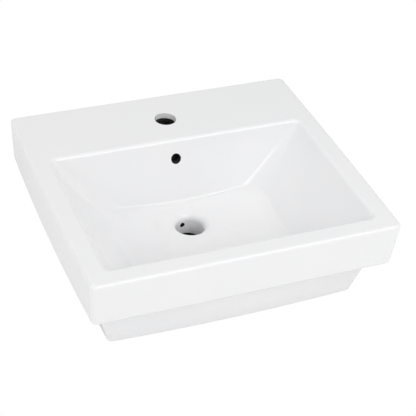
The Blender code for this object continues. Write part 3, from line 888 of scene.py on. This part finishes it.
def bare_china(ripple, drift, specks):
    """The unglazed body: chalky, cream and finely specked."""
    bare = Finish("bare_china").set(roughness=0.7, ior=1.5)
    body = bare.tint(drift, 16.0, BARE_COLOURS)
    bare.colour(bare.blend(bare.add(specks, scale=420.0, reach=0.13), body, SPECK_COLOUR))
    bare.rough(drift, scale=30.0, low=0.55, high=0.85)
    bare.relief(ripple, waves=90.0, grain=1500.0, share=0.6, strength=0.35, distance=0.0006)
    return bare.material


def waterway_painted_shade(ripple, drift):
    """The inside of the overflow: painted shade, near black, matt and grainy."""
    waterway_shade = Finish("waterway_painted_shade").set(ior=1.45)
    waterway_shade.colour(waterway_shade.tint(drift, 60.0, WATERWAY_SHADE_COLOURS))
    waterway_shade.rough(drift, scale=90.0, low=0.75, high=0.95)
    waterway_shade.relief(ripple, waves=120.0, grain=1500.0, share=0.6, strength=0.3, distance=0.0004)
    return waterway_shade.material


def zinc_steel(ripple, drift):
    """Zinc-plated steel, a little cloudy."""
    zinc = Finish("zinc_steel").set(metallic=1.0)
    zinc.colour(zinc.tint(drift, 160.0, ZINC_COLOURS))
    zinc.rough(drift, scale=260.0, low=0.22, high=0.42)
    zinc.relief(ripple, waves=300.0, grain=3000.0, share=0.5, strength=0.12, distance=0.0002)
    return zinc.material


def white_nylon(ripple, drift):
    white = Finish("white_nylon").set(roughness=0.45, ior=1.53)
    white.colour(white.tint(drift, 90.0, WHITE_COLOURS))
    white.rough(drift, scale=120.0, low=0.38, high=0.52)
    white.relief(ripple, waves=260.0, grain=2600.0, share=0.4, strength=0.10, distance=0.0002)
    return white.material


def grey_nylon(ripple, drift):
    grey = Finish("grey_nylon").set(roughness=0.5, ior=1.53)
    grey.colour(grey.tint(drift, 80.0, GREY_COLOURS))
    grey.rough(drift, scale=120.0, low=0.42, high=0.58)
    grey.relief(ripple, waves=260.0, grain=2600.0, share=0.5, strength=0.14, distance=0.0002)
    return grey.material


def make_materials():
    ripple, drift, specks = ripple_group(), drift_group(), speck_group()
    return {"glaze": glazed_china(ripple, drift), "bare": bare_china(ripple, drift, specks),
            "waterway_shade": waterway_painted_shade(ripple, drift), "zinc": zinc_steel(ripple, drift),
            "white": white_nylon(ripple, drift), "grey": grey_nylon(ripple, drift)}


# ---- floor --------------------------------------------------------------------------------------
FLOOR_SIZE, FLOOR_GAP = 12.0, 0.0005
FOOT_REACH = (DEPTH - FOOT_FRONT) / 2       # half the foot's depth, front to back
FLOOR_WHITE = (1.0, 1.0, 1.0, 1.0)          # the floor as it is seen
FLOOR_BOUNCE = (0.92, 0.92, 0.92, 1.0)      # and as it lights the basin
FLOOR_SHADE = (0.003, 0.003, 0.003, 1.0)    # both of them where the foot covers the floor


def calculate(tree, operation, *values, clamp=False):
    """The result of a math node that is fed by sockets or plain numbers."""
    node = tree.nodes.new("ShaderNodeMath")
    node.operation = operation
    node.use_clamp = clamp
    for socket, value in zip(node.inputs, values):
        if isinstance(value, bpy.types.NodeSocket):
            tree.links.new(value, socket)
        else:
            socket.default_value = value
    return node.outputs["Value"]


def mix_shaders(tree, *values):
    """The result of mixing, by a factor, a first shader with a second."""
    node = tree.nodes.new("ShaderNodeMixShader")
    for socket, value in zip(node.inputs, values):
        tree.links.new(value, socket)
    return node.outputs["Shader"]


def foot_mask(tree):
    """1 inside the foot and 0 outside it; the floor's origin is under the foot's middle."""
    place = tree.nodes.new("ShaderNodeTexCoord")
    split = tree.nodes.new("ShaderNodeSeparateXYZ")
    tree.links.new(place.outputs["Object"], split.inputs["Vector"])
    within = [calculate(tree, "LESS_THAN", calculate(tree, "ABSOLUTE", split.outputs[axis]), reach)
              for axis, reach in (("X", HALF - FOOT_SIDE - CHINA), ("Y", FOOT_REACH - CHINA))]
    return calculate(tree, "MULTIPLY", *within)


def floor_shader(tree, kind, covered, open_colour):
    tone = tree.nodes.new("ShaderNodeMix")
    tone.data_type = "RGBA"
    tone.inputs[6].default_value = open_colour
    tone.inputs[7].default_value = FLOOR_SHADE
    tree.links.new(covered, tone.inputs["Factor"])
    shader = tree.nodes.new(kind)
    tree.links.new(tone.outputs[2], shader.inputs["Color"])
    return shader.outputs[0]


def floor_material():
    """Pale to the light, plain white to the eye, dark under the foot, and open from below."""
    material = bpy.data.materials.new("pale_floor")
    material.use_nodes = True
    tree = material.node_tree
    tree.nodes.clear()
    path = tree.nodes.new("ShaderNodeLightPath")
    facing = tree.nodes.new("ShaderNodeNewGeometry")
    covered = foot_mask(tree)
    lit = floor_shader(tree, "ShaderNodeBsdfDiffuse", covered, FLOOR_BOUNCE)
    plain = floor_shader(tree, "ShaderNodeEmission", covered, FLOOR_WHITE)
    above = mix_shaders(tree, path.outputs["Is Camera Ray"], lit, plain)
    below = calculate(tree, "MULTIPLY", path.outputs["Is Camera Ray"], facing.outputs["Backfacing"])
    passed = calculate(tree, "MAXIMUM", below, path.outputs["Transparent Depth"], clamp=True)
    clear = tree.nodes.new("ShaderNodeBsdfTransparent")
    out = tree.nodes.new("ShaderNodeOutputMaterial")
    tree.links.new(mix_shaders(tree, passed, above, clear.outputs["BSDF"]), out.inputs["Surface"])
    return material


def make_floor():
    deselect()
    bpy.ops.mesh.primitive_plane_add(size=FLOOR_SIZE, location=(0, BACK - FOOT_REACH, LOW.z - FLOOR_GAP))
    floor = bpy.context.object
    floor.name = "pale_floor"
    floor.data.materials.append(floor_material())


# ---- lights -------------------------------------------------------------------------------------
ROOM_LIGHT = 0.62
LIGHT_AIM = Vector((0.0, -0.2, 0.0))
SOFTBOXES = (("front_softbox", (0.7, -2.2, 1.8), (1.8, 1.4), 24.0),      # name, place, size, power
             ("left_softbox", (-2.6, -0.5, 0.8), (2.0, 1.6), 14.5),
             ("top_softbox", (0.1, -0.1, 2.4), (2.4, 2.4), 8.5))


def add_softbox(name, place, size, power):
    light = bpy.data.lights.new(name, "AREA")
    light.shape = "RECTANGLE"
    light.size, light.size_y = size
    light.energy = power
    lamp = bpy.data.objects.new(name, light)
    lamp.location = place
    lamp.rotation_mode = "QUATERNION"
    lamp.rotation_quaternion = (Vector(place) - LIGHT_AIM).to_track_quat("Z", "Y")
    bpy.context.scene.collection.objects.link(lamp)


def make_lights():
    world = bpy.data.worlds.new("soft_room")
    world.use_nodes = True
    background = world.node_tree.nodes["Background"]
    background.inputs["Color"].default_value = (1, 1, 1, 1)
    background.inputs["Strength"].default_value = ROOM_LIGHT
    bpy.context.scene.world = world
    for softbox in SOFTBOXES:
        add_softbox(*softbox)
    bpy.context.scene.view_settings.view_transform = "Standard"


# ---- camera -------------------------------------------------------------------------------------
CAMERA_AIM = Vector((0.0047, BACK - 0.2531, DECK - 0.048))
CAMERA_AZIMUTH, CAMERA_ELEVATION = math.radians(-24.99), math.radians(37.21)
CAMERA_DISTANCE = 1.886
CAMERA_ROLL = math.radians(5.19)
CAMERA_LENS = 106.04


def make_camera():
    level = math.cos(CAMERA_ELEVATION)
    back = Vector((math.sin(CAMERA_AZIMUTH) * level, -math.cos(CAMERA_AZIMUTH) * level,
                   math.sin(CAMERA_ELEVATION)))
    data = bpy.data.cameras.new("camera")
    data.lens = CAMERA_LENS
    data.sensor_width = 36.0
    camera = bpy.data.objects.new("camera", data)
    camera.location = CAMERA_AIM + back * CAMERA_DISTANCE
    camera.rotation_mode = "QUATERNION"
    roll = Quaternion((0, 0, 1), CAMERA_ROLL)
    camera.rotation_quaternion = back.to_track_quat("Z", "Y") @ roll
    bpy.context.scene.collection.objects.link(camera)
    bpy.context.scene.camera = camera


materials = make_materials()
casting = make_casting(materials["glaze"], materials["bare"], materials["waterway_shade"])
smooth(casting)
settle(casting, "basin")
for make, node, finish in ((make_bolt, "hanger_bolt", "zinc"), (make_nut, "nut", "zinc"),
                           (make_washer, "washer", "zinc"), (make_bush, "collar_bush", "white"),
                           (make_plug, "wall_plug", "grey")):
    set_out(make(materials[finish]), node)
make_floor()
make_lights()
make_camera()
